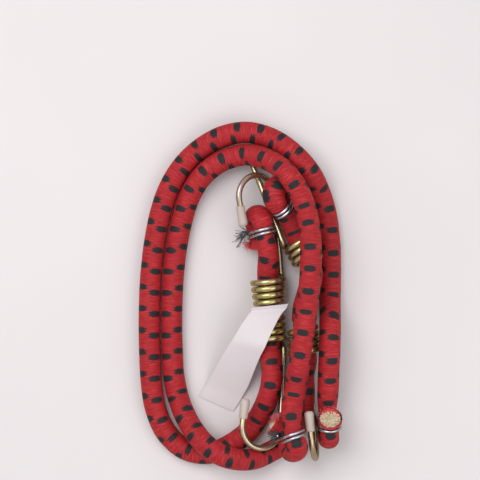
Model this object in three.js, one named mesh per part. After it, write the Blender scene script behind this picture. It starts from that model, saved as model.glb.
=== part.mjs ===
// Two bungee cords with coiled wire hooks, hooked together in one bundle; sizes in mm
import * as THREE from 'three';

// cord
const cord_d = 12.7;
const sheath_wall = 1.1;
const core_gap = 0.38;
const core_proud = 1.2;
const cord_sides = 10;
const cord_chord_error = 0.22;
const cord_longest_step = 15;
const coil_step = 5;
const flat_share = 0.1;
const rest_share = 0.01;
const route_samples = 900;
const arc_samples = 3000;

// folded cord end, in shares of the cord's diameter
const fold_share = 0.52;
const leg_gap_share = 0.4528;
const neck_place_share = 0.55;
const neck_width_share = 0.94;
const pinch_share = 0.1024;
const pinch_reach_share = 0.7874;
const fold_steps = 6;
const tail_straight = 1.2;
const fold_r = cord_d * fold_share;
const leg_half_gap = cord_d * leg_gap_share;
const pinch_depth = cord_d * pinch_share;
const pinch_reach = cord_d * pinch_reach_share;

// hook wire
const wire_d = 3.5;
const wire_sides = 6;
const coil_turns = 3.75;
const coil_pitch = 4.0;
const coil_r_near = 9.2;
const coil_r_far = 7.7;
const coil_fit = 0.5;
const turn_out_r = 4.0;
const turn_steps = 18;
const turn_out_steps = 5;
const hook_reach = 60.0;
const bend_r = 12.4;
const tip_back = 29.5;
const shank_lean_deg = 3;
const tip_lean_deg = 8;
const bend_steps = 13;

// vinyl sleeve on the wire end
const tip_length = 12.0;
const tip_cover = 10.6;
const tip_floor_gap = 0.3;
const tip_bore_r = 2.15;
const tip_mouth_r = 2.5;
const tip_bulb_r = 2.85;
const tip_axis_r = 0.05;
const tip_sides = 10;
const tip_place_shares = [0.3, 0.7, 0.93];
const tip_shoulder_share = 0.92;
const tip_nose_share = 0.55;

// wire tie round a folded end
const tie_wire_d = 1.7;
const tie_pitch = 2.3;
const tie_turns = 2;
const tie_fit = 0.85;
const tie_tail = 4.5;
const tie_arc_steps = 10;
const tie_sides = 6;

// least gap of a wound wire: neighbours along the wire that are not counted, in diameters
const gap_skip_diameters = 4;
const gap_samples = 4;

// paper tag
const tag_width = 21.0;
const tag_thick = 0.4;

// where each hook sits: far end of the coil, a point on its axis toward the bend, roll
const hook_places = {
  a: { far: [17.5, -4.8, 10.4], near: [16.8, 12.1, 11.1], roll: -32.5 },
  b: { far: [40.9, 19.8, 15.6], near: [33.3, 36.8, 12.9], roll: 170.6 },
  c: { far: [17.5, -12.7, 10.4], near: [17.6, -27.4, 11.2], roll: 205.0 },
  d: { far: [37.4, -18.5, 13.7], near: [38.9, -32.6, 12.7], roll: 262.6 },
};

// where each tie sits: its centre, the way to the fold, the way from the main leg to the cut leg
const knob_places = {
  a: {
    at: [12.7, 37.3, 13.6], to_fold: [-0.213, 0.975, -0.025], to_cut: [-0.286, -0.121, -0.950],
    neck: 5.5, tail: 6.0, spread: 25, veer: 0,
  },
  b: {
    at: [27.4, 55.1, 17.0], to_fold: [-0.560, 0.694, 0.452], to_cut: [0.363, 0.696, -0.620],
    neck: 4.8, tail: 6.0, spread: 20, veer: 0,
  },
  c: {
    at: [29.4, -81.3, 26.4], to_fold: [0.304, -0.950, 0.067], to_cut: [-0.360, -0.180, -0.916],
    neck: 4.2, tail: 10, spread: 52, veer: -75,
  },
  d: {
    at: [52.2, -73.7, 17.8], to_fold: [0.000, -0.933, -0.360], to_cut: [0.103, -0.358, 0.928],
    neck: 5.0, tail: 6.5, spread: 40, veer: 0,
  },
};

// route of the outer cord between its coils and folds, from its lower right end
const route_1 = [
  [51.7, -62.2, 16.4], [52.0, -55.2, 19.1], [52.3, -44.6, 20.9], [52.8, -31.6, 23.2],
  [53.2, -16.8, 19.3], [53.5, -2.1, 7.7], [53.8, 17.0, 5.1], [53.4, 31.8, 5.5],
  [51.7, 46.4, 5.1], [47.8, 60.7, 7.1], [41.0, 73.8, 15.8], [30.8, 85.0, 17.2],
  [18.3, 93.2, 12.8], [3.9, 96.9, 11.3], [-10.6, 94.2, 9.2], [-23.7, 86.8, 5.5],
  [-34.2, 76.4, 5.1], [-41.8, 63.7, 5.1], [-46.7, 49.5, 5.1], [-49.8, 34.9, 5.1],
  [-51.8, 20.2, 5.1], [-53.0, 3.8, 5.1], [-53.4, -16.8, 5.1], [-53.1, -34.5, 5.1],
  [-52.1, -52.2, 5.1], [-49.4, -67.6, 5.1], [-43.0, -81.2, 5.1], [-31.4, -91.0, 5.1],
  [-16.9, -92.9, 5.1], [-5.6, -88.0, 5.3], [4.7, -80.6, 5.1], [11.7, -70.8, 6.4],
  [16.3, -61.0, 12.0], [18.7, -51.6, 14.8], [19.2, -41.6, 14.0], [16.9, 25.5, 17.6],
];

// route of the inner cord, from its lower end up over the coils and round
const route_2a = [
  [30.4, -67.7, 28.9], [31.5, -60.8, 25.8], [33.0, -51.5, 25.5], [35.1, -37.5, 31.1],
  [37.1, -22.7, 31.2], [39.2, -8.0, 30.6], [40.8, 6.8, 32.5], [41.6, 21.5, 33.0],
  [41.2, 35.7, 33.0], [39.0, 49.9, 29.9], [35.4, 60.0, 31.1], [29.0, 70.4, 30.4],
  [18.9, 79.2, 22.7], [4.3, 83.6, 13.9], [-10.2, 79.9, 11.0], [-22.1, 70.9, 8.6],
  [-29.9, 58.1, 6.3], [-34.4, 43.8, 5.2], [-37.3, 29.0, 5.2], [-39.1, 13.9, 5.1],
  [-40.0, -1.2, 5.1], [-40.2, -16.5, 5.1], [-39.9, -31.6, 5.1], [-39.0, -46.8, 5.1],
  [-36.1, -60.5, 5.7], [-30.5, -73.5, 11.0], [-21.3, -85.7, 17.5], [-12.1, -92.4, 18.9],
  [-1.5, -95.7, 17.3], [8.6, -95.8, 11.4], [18.2, -92.1, 6.0], [26.9, -86.7, 5.1],
  [33.5, -77.9, 6.4], [37.2, -67.7, 8.6], [38.3, -57.6, 10.2], [37.9, -46.9, 10.8],
];
const route_2b = [
  [37.6, -6.9, 14.1], [40.2, 2.5, 15.5], [42.5, 10.7, 16.4], [30.8, 42.1, 14.1],
];

// places of the cord's route along the axis of each coil, in shares of the coil's length
const guide_shares = {
  a: [-0.0667, 0.3333, 0.7333, 1.2],
  b: [-0.2, 0.3333, 0.8, 1.2667],
  c: [1.2667, 0.8667, 0.4667, 0.0667],
  d: [1.2667, 0.8, 0.3333, -0.2],
};

// the tag from its free end: middle of the strip, and the way across in shares of its width
const tag_rows = [
  { at: [-14.0, -64.0, 0.6], across: [0.969, -0.421, 0.000] },
  { at: [-9.3, -56.3, 1.6], across: [0.997, -0.393, 0.019] },
  { at: [-5.3, -49.1, 4.8], across: [1.011, -0.351, 0.057] },
  { at: [-1.8, -41.3, 9.7], across: [0.983, -0.281, 0.143] },
  { at: [1.9, -33.8, 15.0], across: [0.936, -0.211, 0.229] },
  { at: [5.6, -27.1, 19.5], across: [0.927, -0.163, 0.314] },
  { at: [8.6, -21.2, 20.3], across: [0.899, -0.140, 0.210] },
  { at: [11.8, -15.3, 20.4], across: [0.899, -0.056, 0.138] },
  { at: [15.0, -10.2, 19.9], across: [0.927, 0.042, 0.090] },
  { at: [17.1, -7.8, 18.8], across: [0.955, 0.070, 0.043] },
];

// colours
const red = '#b3262e';
const cream = '#d9cfae';
const zinc = '#a08f5a';
const vinyl = '#d8d2c0';
const bright = '#b9bcc0';
const paper = '#e9e6e2';

const group = new THREE.Group();
group.name = 'bungee_cords';
const up = new THREE.Vector3(0, 0, 1);
const rad = THREE.MathUtils.degToRad;

function vec(p) {
  return new THREE.Vector3(p[0], p[1], p[2]);
}

function add(name, geometry, colour, metalness, roughness) {
  const material = new THREE.MeshStandardMaterial({ color: colour, metalness, roughness });
  const mesh = new THREE.Mesh(geometry, material);
  mesh.name = name;
  group.add(mesh);
}

// stitches rings of equal size into one closed body
function stitch(rings, closed, back = Infinity) {
  const n = rings[0].length;
  const positions = [];
  const index = [];
  for (const ring of rings) for (const p of ring) positions.push(p.x, p.y, p.z);
  const spans = closed ? rings.length : rings.length - 1;
  for (let i = 0; i < spans; i++) {
    const a = i * n;
    const b = ((i + 1) % rings.length) * n;
    for (let k = 0; k < n; k++) {
      const m = (k + 1) % n;
      if (i < back) index.push(a + k, a + m, b + m, a + k, b + m, b + k);
      else index.push(a + k, a + m, b + k, a + m, b + m, b + k);
    }
  }
  if (!closed) {
    for (const [ring, flip] of [[0, true], [rings.length - 1, false]]) {
      const centre = new THREE.Vector3();
      for (const p of rings[ring]) centre.add(p);
      centre.divideScalar(n);
      const c = positions.length / 3;
      positions.push(centre.x, centre.y, centre.z);
      for (let k = 0; k < n; k++) {
        const m = (k + 1) % n;
        const a = ring * n;
        if (flip) index.push(c, a + m, a + k);
        else index.push(c, a + k, a + m);
      }
    }
  }
  if (volume(positions, index) < 0) {
    for (let i = 0; i < index.length; i += 3) [index[i + 1], index[i + 2]] = [index[i + 2], index[i + 1]];
  }
  const geometry = new THREE.BufferGeometry();
  geometry.setAttribute('position', new THREE.Float32BufferAttribute(positions, 3));
  geometry.setIndex(index);
  geometry.computeVertexNormals();
  return geometry;
}

function volume(positions, index) {
  const at = (i) => new THREE.Vector3(positions[3 * i], positions[3 * i + 1], positions[3 * i + 2]);
  let sum = 0;
  for (let i = 0; i < index.length; i += 3) {
    sum += at(index[i]).dot(at(index[i + 1]).cross(at(index[i + 2])));
  }
  return sum / 6;
}

// frames carried along a line without twist, set level at one station
function frames(line, level) {
  const tangents = line.map((p, i) => {
    const a = line[Math.max(i - 1, 0)];
    const b = line[Math.min(i + 1, line.length - 1)];
    return b.clone().sub(a).normalize();
  });
  const normals = [];
  const first = tangents[level];
  const start = Math.abs(first.z) < 0.9 ? up.clone() : new THREE.Vector3(1, 0, 0);
  normals[level] = start.addScaledVector(first, -start.dot(first)).normalize();
  const carry = (from, to) => {
    const q = new THREE.Quaternion().setFromUnitVectors(tangents[from], tangents[to]);
    normals[to] = normals[from].clone().applyQuaternion(q).normalize();
  };
  for (let i = level; i < line.length - 1; i++) carry(i, i + 1);
  for (let i = level; i > 0; i--) carry(i, i - 1);
  return line.map((p, i) => ({ at: p, n: normals[i], b: tangents[i].clone().cross(normals[i]), t: tangents[i] }));
}

// one round ring per frame, turned half a side so that a flat faces down
function rings_of(framed, radius, sides, lowest = -Infinity) {
  return framed.map((f, i) => {
    const r = typeof radius === 'function' ? radius(i) : radius;
    const ring = [];
    for (let k = 0; k < sides; k++) {
      const a = (2 * Math.PI * (k + 0.5)) / sides;
      const p = f.at.clone().addScaledVector(f.n, r * Math.cos(a)).addScaledVector(f.b, r * Math.sin(a));
      p.z = Math.max(p.z, lowest);
      ring.push(p);
    }
    return ring;
  });
}

// frame of a hook: second axis along the coil, shank on the first
function hook_frame(place) {
  const origin = vec(place.far);
  const along = vec(place.near).sub(origin).normalize();
  const side = along.clone().cross(up).normalize();
  const rise = side.clone().cross(along);
  const roll = rad(place.roll);
  const e1 = side.multiplyScalar(Math.cos(roll)).addScaledVector(rise, Math.sin(roll));
  const e3 = e1.clone().cross(along);
  return new THREE.Matrix4().makeBasis(e1, along, e3).setPosition(origin);
}

// hook wire in its own frame: gripping coil, turn-out, shank, bend and tip leg
function hook_line() {
  const line = [];
  const coil_length = coil_turns * coil_pitch;
  const a0 = -turn_out_r / coil_r_near;
  const steps = Math.round(coil_turns * turn_steps);
  const lead = wire_d;
  for (let i = 0; i <= steps; i++) {
    const t = i / steps;
    const a = a0 - 2 * Math.PI * coil_turns * (1 - t);
    const r = coil_r_far + (coil_r_near - coil_r_far) * t;
    const p = new THREE.Vector3(r * Math.cos(a), t * coil_length, -r * Math.sin(a));
    if (i === 0) {
      const back = new THREE.Vector3(Math.sin(a), -coil_pitch / (2 * Math.PI * r), Math.cos(a)).normalize();
      line.push(p.clone().addScaledVector(back, lead));
    }
    line.push(p);
  }
  for (let i = 1; i <= turn_out_steps; i++) {
    const b = (Math.PI / 2) * (i / turn_out_steps);
    const a = a0 + (turn_out_r * Math.sin(b)) / coil_r_near;
    const y = coil_length + turn_out_r * (1 - Math.cos(b));
    line.push(new THREE.Vector3(coil_r_near * Math.cos(a), y, -coil_r_near * Math.sin(a)));
  }
  const base = line[line.length - 1];
  const apex = coil_length + wire_d / 2 + hook_reach;
  const lean = rad(shank_lean_deg);
  const turn_in = rad(tip_lean_deg);
  const dir = new THREE.Vector2(-Math.sin(lean), Math.cos(lean));
  const inward = new THREE.Vector2(-Math.cos(lean), -Math.sin(lean));
  const run = (apex - bend_r - base.y - inward.y * bend_r) / dir.y;
  const end = new THREE.Vector2(base.x, base.y).addScaledVector(dir, run);
  const centre = end.clone().addScaledVector(inward, bend_r);
  const from = lean;
  const to = Math.PI + turn_in;
  line.push(new THREE.Vector3(end.x, end.y, 0));
  for (let i = 1; i <= bend_steps; i++) {
    const g = from + ((to - from) * i) / bend_steps;
    line.push(new THREE.Vector3(centre.x + bend_r * Math.cos(g), centre.y + bend_r * Math.sin(g), 0));
  }
  const last = line[line.length - 1];
  const leg = (last.y - (apex - tip_back)) / Math.cos(turn_in);
  const down = new THREE.Vector3(Math.sin(turn_in), -Math.cos(turn_in), 0);
  const tip_end = last.clone().addScaledVector(down, leg);
  const wire_end = tip_end.clone().addScaledVector(down, tip_cover - tip_length - tip_floor_gap);
  line.push(wire_end);
  return { line, tip_end, down, steps };
}

// sleeve as one closed ring of profile stations turned about the leg
function tip_geometry(matrix, tip_end, down) {
  const start = tip_end.clone().addScaledVector(down, -tip_length);
  const floor = tip_cover / tip_length;
  const [straight, bulge, shoulder] = tip_place_shares;
  const profile = [
    [0, tip_bore_r], [0, tip_mouth_r], [straight, tip_mouth_r], [bulge, tip_bulb_r],
    [shoulder, tip_bulb_r * tip_shoulder_share], [1, tip_bulb_r * tip_nose_share],
    [1, tip_axis_r], [floor, tip_axis_r], [floor, tip_bore_r],
  ];
  const n = new THREE.Vector3(0, 0, 1);
  const b = down.clone().cross(n);
  const rings = profile.map(([t, r]) => {
    const ring = [];
    for (let k = 0; k < tip_sides; k++) {
      const a = (2 * Math.PI * k) / tip_sides;
      const p = start.clone().addScaledVector(down, t * tip_length);
      p.addScaledVector(n, r * Math.cos(a)).addScaledVector(b, r * Math.sin(a));
      ring.push(p.applyMatrix4(matrix));
    }
    return ring;
  });
  return rings;
}

// axes of a folded end: to the fold, from the main leg to the cut leg, square to both
function knob_axes(place) {
  const u = vec(place.to_fold).normalize();
  const w = vec(place.to_cut);
  w.addScaledVector(u, -w.dot(u)).normalize();
  return { u, w, v: u.clone().cross(w) };
}

// folded end: main leg at the tie, round the turn, back past the tie to the cut end
function fold_points(place) {
  const { u, w, v } = knob_axes(place);
  const flat = [[0, -leg_half_gap, 0], [place.neck * neck_place_share, -fold_r * neck_width_share, 0]];
  for (let i = 0; i <= fold_steps; i++) {
    const a = Math.PI * (i / fold_steps - 0.5);
    flat.push([place.neck + fold_r * Math.cos(a), fold_r * Math.sin(a), 0]);
  }
  flat.push([place.neck * neck_place_share, fold_r * neck_width_share, 0], [0, leg_half_gap, 0]);
  const spread = rad(place.spread);
  const veer = rad(place.veer);
  const r = place.tail / spread;
  for (const a of [spread / 2, spread]) {
    const out = r * (1 - Math.cos(a));
    flat.push([-tail_straight - r * Math.sin(a), leg_half_gap + out * Math.cos(veer), out * Math.sin(veer)]);
  }
  const centre = vec(place.at);
  return flat.map(([x, y, z]) =>
    centre.clone().addScaledVector(u, x).addScaledVector(w, y).addScaledVector(v, z));
}

// wire tie: turns round both legs with two straight ends
function tie_line(place) {
  const { u, w, v } = knob_axes(place);
  const r = cord_d / 2 - pinch_depth + tie_fit + tie_wire_d / 2;
  const loop = [];
  for (let turn = 0; turn < tie_turns; turn++) {
    for (const side of [1, -1]) {
      for (let i = 0; i <= tie_arc_steps; i++) {
        const a = Math.PI * (i / tie_arc_steps) - Math.PI / 2;
        loop.push([side * (leg_half_gap + r * Math.cos(a)), side * r * Math.sin(a)]);
      }
    }
  }
  const first = loop[0];
  loop.unshift([first[0] - tie_tail, first[1]]);
  const last = loop[loop.length - 1];
  loop.push([last[0] + tie_tail, last[1]]);
  let run = 0;
  const lengths = loop.map((p, i) => {
    if (i) run += Math.hypot(p[0] - loop[i - 1][0], p[1] - loop[i - 1][1]);
    return run;
  });
  const rise = tie_pitch * tie_turns;
  const centre = vec(place.at);
  return loop.map(([x, y], i) => {
    const along = rise * (lengths[i] / run - 0.5);
    return centre.clone().addScaledVector(w, x).addScaledVector(v, y).addScaledVector(u, along);
  });
}

// least clear gap of a wound tube to itself, measured along its line
function self_gap(line, diameter) {
  const curve_points = [];
  for (let i = 0; i < line.length - 1; i++) {
    for (let k = 0; k < gap_samples; k++) {
      curve_points.push(line[i].clone().lerp(line[i + 1], k / gap_samples));
    }
  }
  const run = [0];
  for (let i = 1; i < curve_points.length; i++) {
    run.push(run[i - 1] + curve_points[i].distanceTo(curve_points[i - 1]));
  }
  let least = Infinity;
  for (let i = 0; i < curve_points.length; i++) {
    for (let k = i + 1; k < curve_points.length; k++) {
      if (run[k] - run[i] < gap_skip_diameters * diameter) continue;
      least = Math.min(least, curve_points[i].distanceTo(curve_points[k]) - diameter);
    }
  }
  return least;
}

// radius of the cord at a point: pinched at the ties and inside the gripping coils
function cord_radius(p, frames_on, ties_on) {
  let r = cord_d / 2;
  for (const m of frames_on) {
    const local = p.clone().applyMatrix4(m.clone().invert());
    if (Math.hypot(local.x, local.z) > wire_d) continue;
    const coil_length = coil_turns * coil_pitch;
    const t = THREE.MathUtils.clamp(local.y / coil_length, 0, 1);
    const grip = coil_r_far + (coil_r_near - coil_r_far) * t - wire_d / 2 - coil_fit;
    const away = Math.max(-wire_d - local.y, local.y - coil_length - wire_d, 0) / wire_d;
    r = Math.min(r, grip + (cord_d / 2) * away);
  }
  for (const tie of ties_on) {
    const near = p.distanceTo(tie) / pinch_reach;
    r = Math.min(r, cord_d / 2 - pinch_depth * Math.exp(-near * near));
  }
  return r;
}

// stations along a route, closer together where it bends or is gripped
function stations(points, frames_on) {
  const curve = new THREE.CatmullRomCurve3(points, false, 'centripetal');
  curve.arcLengthDivisions = arc_samples;
  const count = route_samples;
  const dense = curve.getSpacedPoints(count);
  const step = curve.getLength() / count;
  const want = dense.map((p, i) => {
    const a = dense[Math.max(i - 2, 0)];
    const b = dense[Math.min(i + 2, count)];
    const bend = a.clone().add(b).addScaledVector(p, -2).length() / (4 * step * step);
    let spacing = Math.min(cord_longest_step, Math.sqrt((8 * cord_chord_error) / Math.max(bend, 1e-5)));
    for (const m of frames_on) {
      const local = p.clone().applyMatrix4(m.clone().invert());
      const inside = local.y > -2 * coil_pitch && local.y < (coil_turns + 1) * coil_pitch;
      if (inside && Math.hypot(local.x, local.z) < wire_d) spacing = Math.min(spacing, coil_step);
    }
    return 1 / spacing;
  });
  let run = 0;
  const sum = want.map((d, i) => {
    if (i) run += ((d + want[i - 1]) / 2) * step;
    return run;
  });
  const total = Math.ceil(run);
  const line = [];
  let k = 0;
  for (let i = 0; i <= total; i++) {
    const goal = (run * i) / total;
    while (k < count - 1 && sum[k + 1] < goal) k++;
    const t = THREE.MathUtils.clamp((goal - sum[k]) / (sum[k + 1] - sum[k]), 0, 1);
    line.push(dense[k].clone().lerp(dense[k + 1], t));
  }
  return line;
}

function add_cord(name, points, frames_on, ties_on) {
  const line = stations(points, frames_on);
  const lowest_z = Math.min(...line.map((p) => p.z)) + cord_d * rest_share;
  const resting = line.map((p, i) => i).filter((i) => line[i].z < lowest_z);
  const level = resting[Math.floor(resting.length / 2)];
  const framed = frames(line, level);
  const radii = framed.map((f) => cord_radius(f.at, frames_on, ties_on));
  const bore = (i) => radii[i] - sheath_wall;
  const outer = rings_of(framed, (i) => radii[i], cord_sides, 0);
  const inner = rings_of(framed, bore, cord_sides, sheath_wall);
  add(name + '_sheath', stitch([...outer, ...inner.reverse()], true, outer.length), red, 0, 0.85);
  const core_framed = framed.map((f) => ({ ...f, at: f.at.clone() }));
  core_framed[0].at.addScaledVector(core_framed[0].t, -core_proud);
  const end = core_framed.length - 1;
  core_framed[end].at.addScaledVector(core_framed[end].t, core_proud);
  const core = rings_of(core_framed, (i) => bore(i) - core_gap, cord_sides, sheath_wall + 2 * core_gap);
  add(name + '_core', stitch(core, false), cream, 0, 0.8);
  console.log(name, 'centre line', curve_length(line).toFixed(0), 'mm,', line.length, 'stations');
}

function curve_length(line) {
  return line.reduce((sum, p, i) => (i ? sum + p.distanceTo(line[i - 1]) : 0), 0);
}

const coil = {};
for (const key of Object.keys(hook_places)) coil[key] = hook_frame(hook_places[key]);
const on_axis = (key) => guide_shares[key].map((t) =>
  new THREE.Vector3(0, t * coil_turns * coil_pitch, 0).applyMatrix4(coil[key]));
const knob = {};
for (const key of Object.keys(knob_places)) knob[key] = fold_points(knob_places[key]);
const legs = (key) => [knob[key][0], knob[key][fold_steps + 4]];

// outer cord: lower right fold, round the top, back up through coils C and A to the fold at A
const cord_1 = [
  ...knob.d.slice().reverse(), ...route_1.slice(0, -1).map(vec),
  ...on_axis('c'), ...on_axis('a'), ...route_1.slice(-1).map(vec), ...knob.a,
];
add_cord('cord_1', cord_1, [coil.a, coil.c], [...legs('d'), ...legs('a')]);

// inner cord: fold at C, over the coils, round the top, back up through coils D and B to the fold at B
const cord_2 = [
  ...knob.c.slice().reverse(), ...route_2a.map(vec), ...on_axis('d'), ...route_2b.slice(0, -1).map(vec),
  ...on_axis('b'), ...route_2b.slice(-1).map(vec), ...knob.b,
];
add_cord('cord_2', cord_2, [coil.b, coil.d], [...legs('c'), ...legs('b')]);

// hooks with their sleeves
const hook = hook_line();
console.log('hook coil least gap', self_gap(hook.line.slice(0, hook.steps + 2), wire_d).toFixed(2), 'mm');
for (const key of Object.keys(hook_places)) {
  const line = hook.line.map((p) => p.clone().applyMatrix4(coil[key]));
  const wire = rings_of(frames(line, 0), wire_d / 2, wire_sides);
  add('hook_' + key + '_wire', stitch(wire, false), zinc, 0.85, 0.4);
  add('hook_' + key + '_tip', stitch(tip_geometry(coil[key], hook.tip_end, hook.down), true), vinyl, 0, 0.5);
}

// wire ties
for (const key of Object.keys(knob_places)) {
  const line = tie_line(knob_places[key]);
  if (key === 'a') console.log('tie least gap', self_gap(line, tie_wire_d).toFixed(2), 'mm');
  add('clip_' + key, stitch(rings_of(frames(line, 0), tie_wire_d / 2, tie_sides), false), bright, 0.9, 0.3);
}

// blank tag
const tag_points = tag_rows.map((row) => vec(row.at));
const tag_rings = tag_rows.map((row, i) => {
  const across = vec(row.across);
  const a = tag_points[Math.max(i - 1, 0)];
  const b = tag_points[Math.min(i + 1, tag_points.length - 1)];
  const n = across.clone().cross(b.clone().sub(a)).normalize();
  return [[-0.5, -0.5], [0.5, -0.5], [0.5, 0.5], [-0.5, 0.5]].map(([x, y]) =>
    tag_points[i].clone().addScaledVector(across, x * tag_width).addScaledVector(n, y * tag_thick));
});
add('tag', stitch(tag_rings, false), paper, 0, 0.9);

// footprint centred on the origin, lowest point on the floor
const box = new THREE.Box3();
for (const mesh of group.children) {
  mesh.geometry.computeBoundingBox();
  box.union(mesh.geometry.boundingBox);
}
const middle = box.getCenter(new THREE.Vector3());
for (const mesh of group.children) mesh.geometry.translate(-middle.x, -middle.y, -box.min.z);
console.log('moved by', -middle.x, -middle.y, -box.min.z);

let triangles = 0;
for (const mesh of group.children) triangles += mesh.geometry.index.count / 3;
console.log(group.children.length, 'pieces,', triangles, 'triangles');

export default group;
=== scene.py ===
import math

import bpy
import numpy as np
from bpy.props import FloatProperty, FloatVectorProperty, IntProperty, PointerProperty, StringProperty
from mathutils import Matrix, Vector


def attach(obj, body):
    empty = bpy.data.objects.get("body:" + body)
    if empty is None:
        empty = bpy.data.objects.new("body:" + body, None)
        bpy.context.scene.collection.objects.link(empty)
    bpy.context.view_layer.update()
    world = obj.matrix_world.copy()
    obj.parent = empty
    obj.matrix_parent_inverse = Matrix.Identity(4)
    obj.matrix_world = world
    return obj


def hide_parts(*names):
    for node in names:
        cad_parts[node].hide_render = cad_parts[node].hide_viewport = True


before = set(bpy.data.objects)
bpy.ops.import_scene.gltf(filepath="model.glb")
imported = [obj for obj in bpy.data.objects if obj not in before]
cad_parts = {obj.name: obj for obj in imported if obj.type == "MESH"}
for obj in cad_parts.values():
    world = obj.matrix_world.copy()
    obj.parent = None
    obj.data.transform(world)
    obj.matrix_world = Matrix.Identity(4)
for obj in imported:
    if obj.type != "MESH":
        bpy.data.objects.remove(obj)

bl_info = {
    "name": "Bungee cord bundle",
    "version": (1, 0, 0),
    "blender": (4, 5, 0),
    "location": "3D View > Sidebar > Bungee",
    "description": "Two braided elastic cords with coiled wire hooks, lying hooked together",
    "category": "Object",
}

# the frame's origin seen from the origin that the routes are written in, in metres
SHIFT = np.array([-0.000288, -0.000391, 0.0])

# hooks: far end of the coil, a point on its axis toward the bend, roll in degrees
HOOKS = {
    "a": ((0.0175, -0.0048, 0.0104), (0.0168, 0.0121, 0.0111), -32.5),
    "b": ((0.0409, 0.0198, 0.0156), (0.0333, 0.0368, 0.0129), 170.6),
    "c": ((0.0175, -0.0127, 0.0104), (0.0176, -0.0274, 0.0112), 205.0),
    "d": ((0.0374, -0.0185, 0.0137), (0.0389, -0.0326, 0.0127), 262.6),
}

# ties: centre, way to the fold, way to the cut leg, neck, tail, spread and veer in degrees
KNOBS = {
    "a": ((0.0127, 0.0373, 0.0136), (-0.213, 0.975, -0.025), (-0.286, -0.121, -0.95), 0.0055, 0.006, 25, 0),
    "b": ((0.0274, 0.0551, 0.017), (-0.56, 0.694, 0.452), (0.363, 0.696, -0.62), 0.0048, 0.006, 20, 0),
    "c": ((0.0294, -0.0813, 0.0264), (0.304, -0.95, 0.067), (-0.36, -0.18, -0.916), 0.0042, 0.01, 52, -75),
    "d": ((0.0522, -0.0737, 0.0178), (0.0, -0.933, -0.36), (0.103, -0.358, 0.928), 0.005, 0.0065, 40, 0),
}

# routes between coils and folds, in metres; the last points of ROUTE_1 and ROUTE_2B follow the last coil
ROUTE_1 = [
    (0.0517, -0.0622, 0.0164), (0.052, -0.0552, 0.0191), (0.0523, -0.0446, 0.0209),
    (0.0528, -0.0316, 0.0232), (0.0532, -0.0168, 0.0193), (0.0535, -0.0021, 0.0077),
    (0.0538, 0.017, 0.0051), (0.0534, 0.0318, 0.0055), (0.0517, 0.0464, 0.0051),
    (0.0478, 0.0607, 0.0071), (0.041, 0.0738, 0.0158), (0.0308, 0.085, 0.0172),
    (0.0183, 0.0932, 0.0128), (0.0039, 0.0969, 0.0113), (-0.0106, 0.0942, 0.0092),
    (-0.0237, 0.0868, 0.0055), (-0.0342, 0.0764, 0.0051), (-0.0418, 0.0637, 0.0051),
    (-0.0467, 0.0495, 0.0051), (-0.0498, 0.0349, 0.0051), (-0.0518, 0.0202, 0.0051),
    (-0.053, 0.0038, 0.0051), (-0.0534, -0.0168, 0.0051), (-0.0531, -0.0345, 0.0051),
    (-0.0521, -0.0522, 0.0051), (-0.0494, -0.0676, 0.0051), (-0.043, -0.0812, 0.0051),
    (-0.0314, -0.091, 0.0051), (-0.0169, -0.0929, 0.0051), (-0.0056, -0.088, 0.0053),
    (0.0047, -0.0806, 0.0051), (0.0117, -0.0708, 0.0064), (0.0163, -0.061, 0.012),
    (0.0187, -0.0516, 0.0148), (0.0192, -0.0416, 0.014), (0.0169, 0.0255, 0.0176),
]
ROUTE_2A = [
    (0.0304, -0.0677, 0.0289), (0.0315, -0.0608, 0.0258), (0.033, -0.0515, 0.0255),
    (0.0351, -0.0375, 0.0311), (0.0371, -0.0227, 0.0312), (0.0392, -0.008, 0.0306),
    (0.0408, 0.0068, 0.0325), (0.0416, 0.0215, 0.033), (0.0412, 0.0357, 0.033),
    (0.039, 0.0499, 0.0299), (0.0354, 0.06, 0.0311), (0.029, 0.0704, 0.0304),
    (0.0189, 0.0792, 0.0227), (0.0043, 0.0836, 0.0139), (-0.0102, 0.0799, 0.011),
    (-0.0221, 0.0709, 0.0086), (-0.0299, 0.0581, 0.0063), (-0.0344, 0.0438, 0.0052),
    (-0.0373, 0.029, 0.0052), (-0.0391, 0.0139, 0.0051), (-0.04, -0.0012, 0.0051),
    (-0.0402, -0.0165, 0.0051), (-0.0399, -0.0316, 0.0051), (-0.039, -0.0468, 0.0051),
    (-0.0361, -0.0605, 0.0057), (-0.0305, -0.0735, 0.011), (-0.0213, -0.0857, 0.0175),
    (-0.0121, -0.0924, 0.0189), (-0.0015, -0.0957, 0.0173), (0.0086, -0.0958, 0.0114),
    (0.0182, -0.0921, 0.006), (0.0269, -0.0867, 0.0051), (0.0335, -0.0779, 0.0064),
    (0.0372, -0.0677, 0.0086), (0.0383, -0.0576, 0.0102), (0.0379, -0.0469, 0.0108),
]
ROUTE_2B = [
    (0.0376, -0.0069, 0.0141), (0.0402, 0.0025, 0.0155), (0.0425, 0.0107, 0.0164),
    (0.0308, 0.0421, 0.0141),
]
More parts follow.
